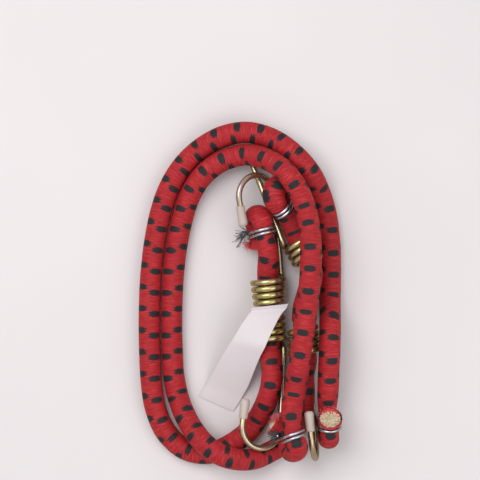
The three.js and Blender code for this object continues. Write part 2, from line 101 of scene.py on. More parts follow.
# tag: middle of the strip, and the way across in shares of its width
TAG_ROWS = [
    ((-0.014, -0.064, 0.0006), (0.969, -0.421, 0.0)),
    ((-0.0093, -0.0563, 0.0016), (0.997, -0.393, 0.019)),
    ((-0.0053, -0.0491, 0.0048), (1.011, -0.351, 0.057)),
    ((-0.0018, -0.0413, 0.0097), (0.983, -0.281, 0.143)),
    ((0.0019, -0.0338, 0.015), (0.936, -0.211, 0.229)),
    ((0.0056, -0.0271, 0.0195), (0.927, -0.163, 0.314)),
    ((0.0086, -0.0212, 0.0203), (0.899, -0.14, 0.21)),
    ((0.0118, -0.0153, 0.0204), (0.899, -0.056, 0.138)),
    ((0.015, -0.0102, 0.0199), (0.927, 0.042, 0.09)),
    ((0.0171, -0.0078, 0.0188), (0.955, 0.07, 0.043)),
    # the strip's upper end tucks against coil A
    ((0.0177, -0.0053, 0.0197), (1.043, 0.11, 0.0)),
]
# places of each route along the axis of a coil, in shares of the coil's length
GUIDES = {
    "a": (-0.0667, 0.3333, 0.7333, 1.2),
    "b": (-0.2, 0.3333, 0.8, 1.2667),
    "c": (1.2667, 0.8667, 0.4667, 0.0667),
    "d": (1.2667, 0.8, 0.3333, -0.2),
}

# coils and folds of each cord, from its start to its end
COILS_OF = {1: ("a", "c"), 2: ("b", "d")}
KNOBS_OF = {1: ("d", "a"), 2: ("c", "b")}

# cords, in metres: size, fold and the pinch of the ties
CORD_D = 0.0127
FOLD_R = 0.0066
LEG_HALF = 0.00575
PINCH = 0.0013
PINCH_REACH = 0.01
NECK_PLACE = 0.55
NECK_WIDTH = 0.94
TAIL_STRAIGHT = 0.0012
# place of the cut leg at the tie in fold_points
CUT_LEG = 10
# per cord: length taken off its start, and how far that end stands up over LIFT_REACH
CUT_BACK = {1: 0.0018, 2: 0.0}
END_LIFT = {1: 0.0018, 2: 0.0}
LIFT_REACH = 0.006
# per cord: how much wider its cover is at its start and its end, fading over FLARE_REACH
FLARE = {1: (0.34, 0.24), 2: (0.24, 0.24)}
FLARE_REACH = 0.004
# slow unevenness of a cover: share of its radius, and number of knots along it
WOBBLE = 0.006
WOBBLE_KNOTS = 90
# how much fatter a folded end is along the fold, toward the cut leg, and sideways
SWELL = {
    "a": (-0.1, 0.06, 0.13), "b": (0.06, 0.06, 0.2), "c": (-0.1, 0.06, 0.12), "d": (-0.14, 0.0, 0.0),
}
# the swell starts past the tie, is full after the rise, and takes in this much of a cord's end
SWELL_START = 0.0012
SWELL_RISE = 0.0045
SWELL_END = 0.045
# rolled edge of a cut cover: distance past its end, share of its radius, and distance along its skin
LIP = [(0.0003, 0.99), (0.0005, 0.93), (0.0002, 0.86)]
LIP_RUN = np.array([0.0002, 0.0003, 0.0004])
# cut rubber: gap to the cover, strands, their radius, shift and height, and its spread and fall to the rim
CORE_CLEAR = 0.0003
STRANDS = 230
STRAND_R = 0.00044
STRAND_SHIFT = 0.00006
STRAND_LIFT = 0.0006
STRAND_SPREAD = (-0.0003, 0.0004)
STRAND_FALL = 0.0006
# a strand's outline: height and share of its radius
STRAND_OUTLINE = [(-0.0006, 1.0), (0.0, 1.0), (0.0002, 0.85), (0.0003, 0.35)]
STRAND_SIDES = 8
# hooks, in metres and degrees
WIRE_D = 0.0035
COIL_TURNS = 3.75
COIL_PITCH = 0.004
COIL_NEAR = 0.0092
COIL_FAR = 0.0077
COIL_FIT = 0.0003
# distance along the wire past which painted shade greys the plating of the shank, bend and leg, in metres
COIL_RUN = 0.2
TURN_OUT = 0.004
REACH = 0.06
BEND_R = 0.0124
SHANK_LEAN = 3
LEG_LEAN = 8
TIP_BACK = 0.0295
TIP_LEN = 0.012
WIRE_SHORT = 0.0016
# rounded cut of the wire: length and share of its radius
WIRE_ROUND = (0.0002, 0.8)
# points on a hook's lead, turn-out, shank, bend and leg
LEAD_STEPS, TURN_STEPS, SHANK_STEPS, BEND_STEPS, LEG_STEPS = 5, 10, 24, 40, 12
# sleeve: share of its length from its mouth, and radius
SLEEVE = [
    (-0.02, 0.00185), (0.0, 0.0023), (0.02, 0.00245), (0.08, 0.0025), (0.3, 0.00255), (0.5, 0.00262),
    (0.66, 0.00275), (0.8, 0.00285), (0.9, 0.0027), (0.96, 0.0022), (0.99, 0.0014), (1.0, 0.0004),
]
SLEEVE_SIDES = 28
# ties: wire radius, gap to the cord, turns, rise a turn, loose ends, steps and sides
TIE_R = 0.00085
TIE_CLEAR = 0.0005
TIE_TURNS = 2
TIE_PITCH = 0.0023
TIE_TAIL = 0.0045
TIE_STEPS = 16
TIE_STEP = 0.0008
TIE_SIDES = 14
# tag: width, thickness, waves and their radians along and across, step, points across, rounds of smoothing
TAG_WIDTH = 0.021
TAG_THICK = 0.00025
TAG_WAVE = 0.0003
TAG_RADIANS = (9, 4)
TAG_STEP = 0.0012
TAG_COLUMNS = 15
TAG_ROUNDS = 6
# yarn at the cut ends: length, spread, curl and radius of the ring that it stands on; then for all yarn
RIM_YARN = (0.0015, 0.8, 0.7, 0.0068)
YARN_CURL = 0.5
YARN_STEPS = 6
YARN_LOWEST = 0.0004
# by chance: distance of roots, lean outward, stray of a heading, and share of the length
YARN_APART = 0.0012
YARN_LEAN = (0.25, 0.25)
YARN_STRAY = 0.12
YARN_SHARE = (0.5, 1.15)
YARN_R = {"red": 0.00012, "dark": 0.00016, "pale": 0.00012}
# camera: height, sensor, height at which a pixel is PIXEL wide, and the point below it
CAMERA_HEIGHT = 1.6
SENSOR = 36.0
SCALE_HEIGHT = 0.012
PIXELS = 480
PIXEL = 0.00059
VIEW_CENTRE = (0.000295, 0.033335)
# half the floor's side; the sky for plain rays, its gain for the camera, and for glossy rays its level, its
# gain overhead and the power of the height that this follows
FLOOR_HALF = 3
SKY_PLAIN, SKY_SEEN, SKY_LEVEL, SKY_TOP, SKY_POWER = 0.65, 0.3, 0.56, 0.6, 4.0
# seeds of the random draws
COVER_SEED, CORE_SEED, YARN_SEED = 10, 40, 5
# lamps: name, place, size and power in watts
LAMPS = [("key", (-0.4, 0.35, 0.95), 0.75, 6.7), ("fill", (0.6, -0.3, 0.8), 0.75, 2.7)]

# texture coordinates, in millimetres: round the cover, yarns that way, and pitch of the braid
ROUND_MM = 39.9
BRAID_YARNS = 30
BRAID_PITCH = 1.0
# tracer marks, in millimetres: pitch along the cord, then place round it and stagger of each row
MARK_PITCH = 12.7
MARK_ROWS = ((3.4, 0.0), (-5.6, 3.3), (12.4, 3.3), (-16.5, 0.0))
# distance along each cord, turn and slide of its marks there, in millimetres
MARK_DRIFT = {
    1: [(11, 1.4, 1.2), (50, 2.5, -0.4), (80, 0.8, 0.9), (98, 0.2, 3.0), (116, 0.7, -1.9),
        (143, 0.7, -3.1), (168, 0.0, -3.4), (184, -0.9, -6.1), (200, -2.2, -6.0), (220, -2.4, -3.8),
        (235, -1.6, -5.1), (255, -1.4, -4.8), (275, -1.8, -5.6), (320, -2.4, -5.7),
        (345, -2.4, -5.9), (375, -1.8, -5.8), (400, -2.4, -6.0), (425, -3.1, -6.3),
        (450, -3.6, -6.3), (515, -4.9, -4.0), (540, -5.7, -3.2), (565, -7.6, -2.2),
        (617, -3.3, -4.4), (631, -2.5, -4.1), (651, -2.5, -17.0)],
    2: [(21, 11.5, 4.4), (35, 8.8, 6.0), (60, 8.8, 2.4), (150, 8.9, 2.2), (195, 9.0, 2.2),
        (218, 9.8, 1.4), (235, 10.2, -0.4), (270, 9.6, -1.0), (300, 8.8, -1.1), (335, 8.6, -0.4),
        (375, 8.1, 0.3), (400, 7.3, 0.4), (415, 6.9, -0.7), (435, 7.8, 0.2), (458, 8.3, 2.2),
        (525, 9.3, 4.4), (618, 5.5, 4.3), (633, 7.9, 4.9), (646, 10.8, 2.7)],
}

# yarn that sticks out at the ties: kind, root, way, share of the count, length, spread
YARN = [
    ("dark", (0.0058, 0.0385, 0.0095), (-1.0, -0.28, -0.08), 0.3, 0.0085, 0.55),
    ("dark", (0.005, 0.0375, 0.008), (-0.8, -0.55, -0.05), 0.2, 0.01, 0.4),
    ("red", (0.0068, 0.0318, 0.007), (-0.85, -0.5, 0.1), 0.6, 0.0054, 0.8),
    ("red", (0.0225, -0.074, 0.025), (-0.35, 0.9, 0.15), 1.6, 0.0058, 1.3),
    ("dark", (0.0225, -0.08, 0.0245), (-0.8, 0.05, 0.1), 1.3, 0.0058, 1.4),
    ("pale", (0.0205, -0.076, 0.0215), (-0.8, 0.2, 0.2), 0.3, 0.004, 0.9),
]


def rgb(r, g, b):
    """Display values from 0 to 255 as a linear colour, by the sRGB curve."""
    return tuple(((c / 255 + 0.055) / 1.055) ** 2.4 if c > 10 else c / 255 / 12.92
                 for c in (r, g, b)) + (1.0,)


def colour_prop(name, description, default):
    """A colour for the panel."""
    return FloatVectorProperty(name=name, description=description, default=default, size=4, min=0.0,
                               max=1.0, subtype="COLOR")


class BungeeCordSettings(bpy.types.PropertyGroup):
    """Sizes and looks of the cords"""

    diameter: FloatProperty(
        name="Diameter", description="Thickness of a cord away from its ties", default=CORD_D,
        min=0.008, max=0.016, precision=4, unit="LENGTH")
    cover_dark: colour_prop("Cover, darker", "Darker patches of the braided cover", rgb(168, 22, 30))
    cover_light: colour_prop("Cover, lighter", "Lighter patches of the braided cover", rgb(196, 34, 42))
    marks: colour_prop("Marks", "Raised yarn of the tracer marks", rgb(44, 38, 42))
    rubber: colour_prop("Rubber", "Lighter patches of the cut rubber", rgb(222, 208, 180))
    around: IntProperty(name="Sides", description="Points round a cover", default=44, min=12, max=96)
    step: FloatProperty(
        name="Step", description="Distance between the rings of a cover", default=0.0011,
        min=0.0005, max=0.005, precision=4, unit="LENGTH")
    fibres: IntProperty(
        name="Loose fibres", description="Loose yarn ends at each cut end", default=70, min=0, max=400)


class BungeeHookSettings(bpy.types.PropertyGroup):
    """Sizes and looks of the wire hooks"""

    wire: FloatProperty(
        name="Wire", description="Thickness of the hooks' wire", default=WIRE_D,
        min=0.002, max=0.005, precision=4, unit="LENGTH")
    plating: colour_prop("Plating", "Yellower patches of the zinc plating", rgb(198, 188, 112))
    sleeve: colour_prop("Sleeve", "Lighter patches of the vinyl sleeves", rgb(194, 180, 170))
    sides: IntProperty(
        name="Wire sides", description="Points round the wire", default=20, min=8, max=48)
    per_turn: IntProperty(
        name="Steps a turn", description="Points along one turn of a coil", default=48, min=16, max=96)


def cord_d():
    """The panel's cord diameter to a tenth of a micrometre, as panels keep single precision."""
    return round(bpy.context.scene.bungee_cord.diameter, 7)


def wire_d():
    """The panel's wire diameter to a tenth of a micrometre."""
    return round(bpy.context.scene.bungee_hook.wire, 7)


# curves and frames

def vec(values):
    """Values as an array of floats."""
    return np.array(values, float)


def unit(v):
    """A vector over its own length."""
    return v / np.linalg.norm(v)


def square_to(way):
    """Two unit vectors square to a way and to each other."""
    x = unit(np.cross(way, vec([0, 0, 1]) if abs(way[2]) < 0.9 else vec([1, 0, 0])))
    return x, np.cross(way, x)


def run_of(line):
    """Distance along a line at each of its points."""
    return np.r_[0, np.cumsum(np.linalg.norm(np.diff(line, axis=0), axis=1))]


def catmull(points, per=14):
    """Centripetal Catmull-Rom curve: a span's time is the root of its length, and a cubic joins its ends with
    the slopes that its neighbours give."""
    p = vec(points)
    q = np.vstack([2 * p[0] - p[1], p, 2 * p[-1] - p[-2]])
    s = np.linspace(0, 1, per, endpoint=False)[:, None]
    out = []
    for p0, p1, p2, p3 in zip(q, q[1:], q[2:], q[3:]):
        t0, t1, t2 = (max(np.linalg.norm(b - a), 1e-9) ** 0.5 for a, b in ((p0, p1), (p1, p2), (p2, p3)))
        m1 = ((p1 - p0) / t0 - (p2 - p0) / (t0 + t1) + (p2 - p1) / t1) * t1
        m2 = ((p2 - p1) / t1 - (p3 - p1) / (t1 + t2) + (p3 - p2) / t2) * t1
        out.append((2 * s**3 - 3 * s**2 + 1) * p1 + (s**3 - 2 * s**2 + s) * m1
                   + (-2 * s**3 + 3 * s**2) * p2 + (s**3 - s**2) * m2)
    out.append(p[-1:])
    return np.vstack(out)


def resample(line, step):
    """Points at even distances along a line, about a step apart, and their distances."""
    run = run_of(line)
    s = np.linspace(0, run[-1], max(2, int(round(run[-1] / step)) + 1))
    return np.column_stack([np.interp(s, run, line[:, k]) for k in range(3)]), s


def carried(line, level=0):
    """Tangents, normals and binormals without twist: the normal is upright at the level point, and the next
    one is always the last less its part along the tangent."""
    t = np.gradient(line, axis=0)
    t /= np.linalg.norm(t, axis=1)[:, None]
    n = np.zeros_like(t)
    up = vec([0, 0, 1]) if abs(t[level][2]) < 0.9 else vec([1, 0, 0])
    n[level] = unit(up - t[level] * (up @ t[level]))
    for order, back in ((range(level + 1, len(t)), 1), (range(level - 1, -1, -1), -1)):
        for i in order:
            n[i] = unit(n[i - back] - t[i] * (n[i - back] @ t[i]))
    return t, n, np.cross(t, n)


def hook_matrix(place):
    """Origin and axes of a hook: y along its coil, x level and turned by the roll, z square to both."""
    far, near, roll = vec(place[0]), vec(place[1]), math.radians(place[2])
    along = unit(near - far)
    side = unit(np.cross(along, [0, 0, 1.0]))
    x = side * math.cos(roll) + np.cross(side, along) * math.sin(roll)
    return far, np.column_stack([x, along, np.cross(x, along)])


def placed(local, matrix):
    """Points of a hook's own frame in the bundle's."""
    return matrix[0] + vec(local) @ matrix[1].T


def on_axis(key):
    """A route's points on the axis of a coil."""
    return placed([(0, t * COIL_TURNS * COIL_PITCH, 0) for t in GUIDES[key]], hook_matrix(HOOKS[key]))


def knob_frame(key):
    """Centre of a tie, unit way to its fold, and unit way to the cut leg made square to it."""
    at, u, w = (vec(v) for v in KNOBS[key][:3])
    u = unit(u)
    return at, u, unit(w - u * (w @ u))


def fold_points(key):
    """Main leg at the tie, half a circle past the neck, back to the tie, then an arc away to the cut end."""
    at, u, w = knob_frame(key)
    v = np.cross(u, w)
    neck, tail, spread, veer = KNOBS[key][3:]
    spread, veer = math.radians(spread), math.radians(veer)
    flat = [(0, -LEG_HALF, 0), (neck * NECK_PLACE, -FOLD_R * NECK_WIDTH, 0)]
    turn = np.radians(range(-90, 91, 30))
    flat += [(neck + FOLD_R * math.cos(a), FOLD_R * math.sin(a), 0) for a in turn]
    flat += [(neck * NECK_PLACE, FOLD_R * NECK_WIDTH, 0), (0, LEG_HALF, 0)]
    r = tail / spread
    for a in (spread / 2, spread):
        out = r * (1 - math.cos(a))
        flat.append((-TAIL_STRAIGHT - r * math.sin(a), LEG_HALF + out * math.cos(veer),
                     out * math.sin(veer)))
    return np.array([at + u * x + w * y + v * z for x, y, z in flat])


def cord_points(which):
    """Points of a cord's centre line, from cut end to cut end."""
    first, last = (fold_points(key) for key in KNOBS_OF[which])
    if which == 1:
        between = [vec(ROUTE_1[:-1]), on_axis("c"), on_axis("a"), vec(ROUTE_1[-1:])]
    else:
        between = [vec(ROUTE_2A), on_axis("d"), vec(ROUTE_2B[:-1]), on_axis("b"), vec(ROUTE_2B[-1:])]
    return np.vstack([first[::-1], *between, last])


def cord_radii(line, which):
    """Half the diameter; in a coil at most its inner radius less a little; at each leg in a tie less a pinch
    that falls off as a bell curve."""
    full, wire, span = cord_d() / 2, wire_d(), COIL_TURNS * COIL_PITCH
    r = np.full(len(line), full)
    for key in COILS_OF[which]:
        at, m = hook_matrix(HOOKS[key])
        local = (line - at) @ m
        close = np.hypot(local[:, 0], local[:, 2]) < wire
        t = np.clip(local[:, 1] / span, 0, 1)
        grip = COIL_FAR + (COIL_NEAR - COIL_FAR) * t - wire / 2 - COIL_FIT
        outside = np.maximum(-wire - local[:, 1], local[:, 1] - span - wire)
        r = np.where(close, np.minimum(r, grip + full * (np.maximum(outside, 0) / wire)), r)
    for key in KNOBS_OF[which]:
        points = fold_points(key)
        for leg in (points[0], points[CUT_LEG]):
            near = np.linalg.norm(line - leg, axis=1) / PINCH_REACH
            r = np.minimum(r, full - PINCH * np.exp(-near**2))
    return r


# meshes

def add_object(name, data):
    """An object of the scene that shows a mesh, curve, camera or lamp."""
    obj = bpy.data.objects.new(name, data)
    bpy.context.scene.collection.objects.link(obj)
    return obj


def new_object(name, vertices, faces, uvs=None, smooth=True):
    """A mesh object, with texture coordinates if given."""
    mesh = bpy.data.meshes.new(name)
    mesh.from_pydata([tuple(v) for v in vertices], [], [tuple(f) for f in faces])
    if uvs is not None:
        layer = mesh.uv_layers.new(name="UVMap")
        layer.data.foreach_set("uv", np.asarray(uvs, np.float32).ravel())
    mesh.polygons.foreach_set("use_smooth", np.full(len(mesh.polygons), smooth))
    mesh.update()
    return add_object(name, mesh)


def circles(line, radii, n, b, sides):
    """A ring at each point of a line: the point plus its radius times normal * cos + binormal * sin."""
    a = 2 * np.pi * np.arange(sides) / sides
    way = n[:, None, :] * np.cos(a)[None, :, None] + b[:, None, :] * np.sin(a)[None, :, None]
    return line[:, None, :] + radii[:, None, None] * way


def ring_mesh(rings, u_span=1.0, v_values=None):
    """Quads between neighbouring rings of equal size, and a face on each end. u is the share of the way round
    times u_span, v is each ring's own value."""
    rings = np.asarray(rings)
    count, sides = rings.shape[:2]
    i = np.arange(count - 1)[:, None]
    k = np.arange(sides)[None, :]
    m = (k + 1) % sides
    corners = ((i, k), (i, m), (i + 1, m), (i + 1, k))
    quads = np.stack([row * sides + column for row, column in corners], axis=-1).reshape(-1, 4)
    v = np.arange(count, dtype=float) if v_values is None else np.asarray(v_values, float)
    u0 = np.broadcast_to(k * u_span / sides, (count - 1, sides))
    u1 = u0 + u_span / sides
    v0, v1 = (np.broadcast_to(v[row], (count - 1, sides)) for row in (i, i + 1))
    uv = np.stack([np.stack(pair, -1) for pair in ((u0, v0), (u1, v0), (u1, v1), (u0, v1))], axis=2)
    faces = [tuple(f) for f in quads]
    ends = []
    for ring, order in ((0, -1), (count - 1, 1)):
        faces.append(tuple(range(ring * sides, (ring + 1) * sides))[::order])
        ends += [(0.5 * u_span, v[ring])] * sides
    return rings.reshape(-1, 3), faces, np.vstack([uv.reshape(-1, 2), ends])


def tube(name, line, radii, sides):
    """Rings round a line, closed at both ends, with the distance along it as v."""
    _, n, b = carried(line)
    return new_object(name, *ring_mesh(circles(line, radii, n, b, sides), v_values=run_of(line)))


# materials

class Graph:
    """Short way to write a node tree."""

    def __init__(self, tree):
        self.tree = tree

    def put(self, socket, value):
        """Links a socket to a node's output, or sets its own value."""
        if isinstance(value, bpy.types.NodeSocket):
            self.tree.links.new(value, socket)
        else:
            socket.default_value = value

    def node(self, kind, **settings):
        """A node with its settings, and its inputs by name or number."""
        inputs = settings.pop("inputs", {})
        item = self.tree.nodes.new(kind)
        for key, value in settings.items():
            setattr(item, key, value)
        for key, value in inputs.items():
            self.put(item.inputs[key], value)
        return item

    def math(self, operation, *values, clamp=False):
        """One step of arithmetic."""
        return self.node("ShaderNodeMath", operation=operation, use_clamp=clamp,
                         inputs=dict(enumerate(values))).outputs[0]

    def add(self, a, b):
        return self.math("ADD", a, b)

    def sub(self, a, b):
        return self.math("SUBTRACT", a, b)

    def mul(self, a, b, clamp=False):
        return self.math("MULTIPLY", a, b, clamp=clamp)

    def mix(self, factor, a, b):
        """Colour a where the factor is 0, b where it is 1. The node's colour sockets are 6 and 7."""
        return self.node("ShaderNodeMix", data_type="RGBA", inputs={0: factor, 6: a, 7: b}).outputs[2]

    def ramp(self, value, stops):
        """Colours at places from 0 to 1, mixed evenly between them."""
        item = self.node("ShaderNodeValToRGB", inputs={0: value})
        while len(item.color_ramp.elements) < len(stops):
            item.color_ramp.elements.new(0.5)
        for element, (place, colour) in zip(item.color_ramp.elements, stops):
            element.position = place
            element.color = colour
        return item.outputs[0]

    def noise(self, vector, scale, detail=3.0, roughness=0.5):
        """Fractal noise from about 0 to 1."""
        return self.node("ShaderNodeTexNoise", inputs={"Vector": vector, "Scale": scale, "Detail": detail,
                                                       "Roughness": roughness}).outputs[0]

    def grain(self, *settings):
        """Noise on the object's own coordinates: scale, detail and roughness."""
        return self.noise(self.node("ShaderNodeTexCoord").outputs["Object"], *settings)

    def coat(self, bsdf, values, bump=None):
        """Sets the shader's own sockets, and bends its normal by a bump of strength, distance and height."""
        for name, value in values.items():
            self.put(bsdf.inputs[name], value)
        if bump:
            item = self.node("ShaderNodeBump", inputs=dict(zip(("Strength", "Distance", "Height"), bump)))
            self.put(bsdf.inputs["Normal"], item.outputs[0])


def group(name, inputs, outputs):
    """A node group of numbers in and numbers out."""
    tree = bpy.data.node_groups.new(name, "ShaderNodeTree")
    for labels, way in ((inputs, "INPUT"), (outputs, "OUTPUT")):
        for label in labels:
            tree.interface.new_socket(name=label, in_out=way, socket_type="NodeSocketFloat")
    given = tree.nodes.new("NodeGroupInput").outputs[:len(inputs)]
    return Graph(tree), given, tree.nodes.new("NodeGroupOutput").inputs


def material(name):
    """A new material, its graph and its shader."""
    item = bpy.data.materials.new(name)
    item.use_nodes = True
    return item, Graph(item.node_tree), item.node_tree.nodes["Principled BSDF"]


def tracer_group():
    """Mask of the dark stitches, from millimetres round (u) and along (v) the cord: on where |u| plus a
    cut-in, which grows either way from |v| = fat, is under the half length, and |v| under the half width.
    Noise moves both edges, and the rows join by their maximum."""
    g, (around, along, rough), out = group("tracer_marks", ("Around", "Along", "Rough"), ("Mask",))
    half_length, half_width, fat, torn, torn_edge = 4.6, 1.95, 0.75, 4.6, 0.25
    outward, inward, side_slope, edge_slope = 2.5, -1.6, 2.6, 4.0
    masks = []
    for centre, stagger in MARK_ROWS:
        u = g.math("WRAP", g.sub(around, centre), ROUND_MM / 2, -ROUND_MM / 2)
        v = g.math("WRAP", g.sub(along, stagger), MARK_PITCH / 2, -MARK_PITCH / 2)
        u, v = g.math("ABSOLUTE", u), g.math("ABSOLUTE", v)
        off = g.sub(v, fat)
        cut_in = g.math("MAXIMUM", g.mul(off, outward), g.mul(off, inward))
        uneven = g.mul(g.sub(rough, 0.5), torn)
        side = g.sub(g.add(half_length, uneven), g.add(u, cut_in))
        edge = g.sub(g.add(half_width, g.mul(uneven, torn_edge)), v)
        masks.append(g.mul(g.mul(side, side_slope, clamp=True), g.mul(edge, edge_slope, clamp=True)))
    top = masks[0]
    for other in masks[1:]:
        top = g.math("MAXIMUM", top, other)
    g.put(out[0], top)
    return g.tree


def weave_group():
    """Height of the braid: the higher of two sine waves that lean left and right, plus a rib of twice their
    frequency. Streak is the noise that shifts them. Both come from millimetres round and along the cord."""
    g, (around, along), out = group("braid_height", ("Around", "Along"), ("Height", "Streak"))
    round_scale, long_scale, shift, lean_height, rib_height, level = 0.14, 1.7, 0.25, 0.28, 0.24, 0.5
    flat = g.node("ShaderNodeCombineXYZ", inputs={0: g.mul(around, round_scale),
                                                  1: g.mul(along, long_scale)})
    streak = g.noise(flat.outputs[0], 1.0, 4.0, 0.7)
    shifted = g.add(along, g.mul(streak, shift))
    a = g.mul(shifted, 2 * math.pi / BRAID_PITCH)
    c = g.mul(around, 2 * math.pi * BRAID_YARNS / ROUND_MM)
    diagonal = g.math("MAXIMUM", g.math("SINE", g.add(a, c)), g.math("SINE", g.sub(a, c)))
    rib = g.math("SINE", g.mul(a, 2.0))
    height = g.add(g.mul(diagonal, lean_height), g.mul(rib, rib_height))
    g.put(out[0], g.add(height, level))
    g.put(out[1], streak)
    return g.tree


def braid(g):
    """Two reds mixed by broad noise, darker in the braid's valleys as painted shade, streaked, and black in
    the marks, which also get painted shade in the valleys.
    """
    looks = bpy.context.scene.bungee_cord
    uv = g.node("ShaderNodeUVMap", uv_map="UVMap").outputs[0]
    stretched = g.node("ShaderNodeUVMap", uv_map="MarkMap").outputs[0]
    marks = g.node("ShaderNodeGroup", node_tree=tracer_group())
    weave = g.node("ShaderNodeGroup", node_tree=weave_group())
    for tree, source in ((marks, stretched), (weave, uv)):
        parts = g.node("ShaderNodeSeparateXYZ", inputs={0: source}).outputs
        g.put(tree.inputs[0], parts[0])
        g.put(tree.inputs[1], parts[1])
    g.put(marks.inputs[2], g.noise(uv, 1.9, 2.0))
    height, streak = weave.outputs
    colour = g.mix(g.grain(45.0, 2.0), looks.cover_dark, looks.cover_light)
    # painted shade: where the braid's height is low, its valleys turn dark red
    colour = g.mix(g.mul(height, 1.1, clamp=True), rgb(104, 8, 16), colour)
    bright = g.mul(g.sub(streak, 0.5), 2.8, clamp=True)
    colour = g.mix(bright, colour, rgb(232, 74, 76))
    dim = g.mul(g.sub(0.48, streak), 3.4, clamp=True)
    colour = g.mix(dim, colour, rgb(110, 10, 20))
    # painted shade: the marks turn near black where the braid's height is low, in their valleys
    colour = g.mix(marks.outputs[0], colour, g.mix(height, rgb(10, 9, 12), looks.marks))
    return {"Base Color": colour, "Roughness": 0.6, "Specular IOR Level": 0.3, "Sheen Weight": 0.02,
            "Sheen Roughness": 0.4}, (0.6, 0.00025, height)


def rubber(g):
    """Cut rubber: two pale tones mixed by broad noise, darker where fine noise is low."""
    fine = g.grain(900.0, 2.0)
    colour = g.mix(g.grain(260.0, 2.0), rgb(188, 172, 144), bpy.context.scene.bungee_cord.rubber)
    low = g.ramp(fine, [(0.35, (1, 1, 1, 1)), (0.5, (0, 0, 0, 1))])
    return {"Base Color": g.mix(low, colour, rgb(168, 152, 116)), "Roughness": 0.8}, (0.4, 0.0002, fine)


def zinc(g):
    """Yellow zinc: four tints over broad noise, dulled by fine noise, and greyer in patches past COIL_RUN,
    which is painted shade on the shank, bend and leg.
    """
    broad, fine = g.grain(55.0, 3.0), g.grain(420.0, 3.0)
    plating = bpy.context.scene.bungee_hook.plating
    colour = g.ramp(broad, [(0.3, rgb(170, 146, 126)), (0.45, rgb(204, 192, 132)), (0.56, plating),
                            (0.68, rgb(184, 158, 144))])
    colour = g.mix(g.mul(fine, 0.6), colour, rgb(156, 132, 112))
    uv = g.node("ShaderNodeUVMap", uv_map="UVMap").outputs[0]
    along = g.node("ShaderNodeSeparateXYZ", inputs={0: uv}).outputs[1]
    # painted shade: past COIL_RUN the shank, bend and leg turn greyer, in patches by broad noise
    past = g.mul(g.sub(along, COIL_RUN), 60.0, clamp=True)
    painted_shade = g.mul(past, g.mul(broad, 1.1))
    return {"Base Color": g.mix(painted_shade, colour, rgb(176, 158, 146)), "Metallic": 0.9,
            "Roughness": g.add(g.mul(fine, 0.12), 0.2)}, (0.04, 0.0002, fine)


def vinyl(g):
    """Soft pale sleeve: two tones mixed by broad noise, and a little light through it."""
    broad = g.grain(150.0, 3.0)
    colour = g.mix(broad, rgb(172, 156, 146), bpy.context.scene.bungee_hook.sleeve)
    return {"Base Color": colour, "Roughness": 0.38, "Subsurface Weight": 0.15,
            "Subsurface Scale": 0.002}, (0.2, 0.0003, broad)


def steel(g):
    """Bright wire: tint and roughness follow fine noise."""
    fine = g.grain(500.0, 4.0)
    return {"Base Color": g.mix(fine, rgb(150, 152, 158), rgb(216, 218, 222)), "Metallic": 1.0,
            "Roughness": g.add(g.mul(fine, 0.25), 0.15)}, None


def paper(g):
    """Blank paper: two near whites mixed by broad noise, greyed a little by fine noise."""
    fine = g.grain(420.0, 5.0, 0.6)
    colour = g.mix(g.grain(30.0, 2.0), rgb(212, 204, 205), rgb(220, 212, 214))
    colour = g.mix(g.mul(fine, 0.25), colour, rgb(198, 184, 190))
    return {"Base Color": colour, "Roughness": 0.75}, (0.12, 0.0002, fine)


def loose(low, high):
    """Loose yarn of two tones, mixed by fine noise, with sheen."""
    return lambda g: ({"Base Color": g.mix(g.grain(300.0, 2.0), low, high), "Roughness": 0.6,
                       "Sheen Weight": 0.3}, None)


# name of each material, and what gives its values
LOOKS = {
    "braid": ("braided_polyester", braid), "rubber": ("natural_rubber", rubber),
    "zinc": ("yellow_zinc_wire", zinc), "vinyl": ("vinyl_sleeve", vinyl),
    "steel": ("bright_tie_wire", steel), "paper": ("tag_paper", paper),
    "red_fibre": ("loose_red_yarn", loose(rgb(196, 40, 50), rgb(226, 110, 110))),
    "dark_fibre": ("loose_dark_yarn", loose(rgb(38, 36, 42), rgb(92, 88, 96))),
    "pale_fibre": ("loose_pale_yarn", loose(rgb(206, 190, 160), rgb(238, 226, 212))),
}
MADE = {}


def dress(obj, look, body, nodes=()):
    """Gives a piece its material, body and the nodes that it replaces."""
    if look not in MADE:
        name, values = LOOKS[look]
        MADE[look], g, bsdf = material(name)
        g.coat(bsdf, *values(g))
    obj.data.materials.append(MADE[look])
    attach(obj, body)
    if nodes:
        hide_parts(*nodes)


# pieces

def swell(ring, key, close):
    """Fattens a folded end: a point's offset from the tie grows by a share on each axis, which rises smoothly
    past the tie. Along the fold only what lies past the neck counts."""
    at, u, w = knob_frame(key)
    neck = KNOBS[key][3]
    axes = np.column_stack([u, w, np.cross(u, w)])
    local = (ring[close] - at - SHIFT) @ axes
    past = np.clip((local[..., 0] - SWELL_START) / SWELL_RISE, 0, 1)
    gain = (past * past * (3 - 2 * past))[..., None] * np.array(SWELL[key])
    offset = local.copy()
    offset[..., 0] = np.maximum(local[..., 0] - neck, 0.0)
    ring[close] = at + SHIFT + (local + offset * gain) @ axes.T


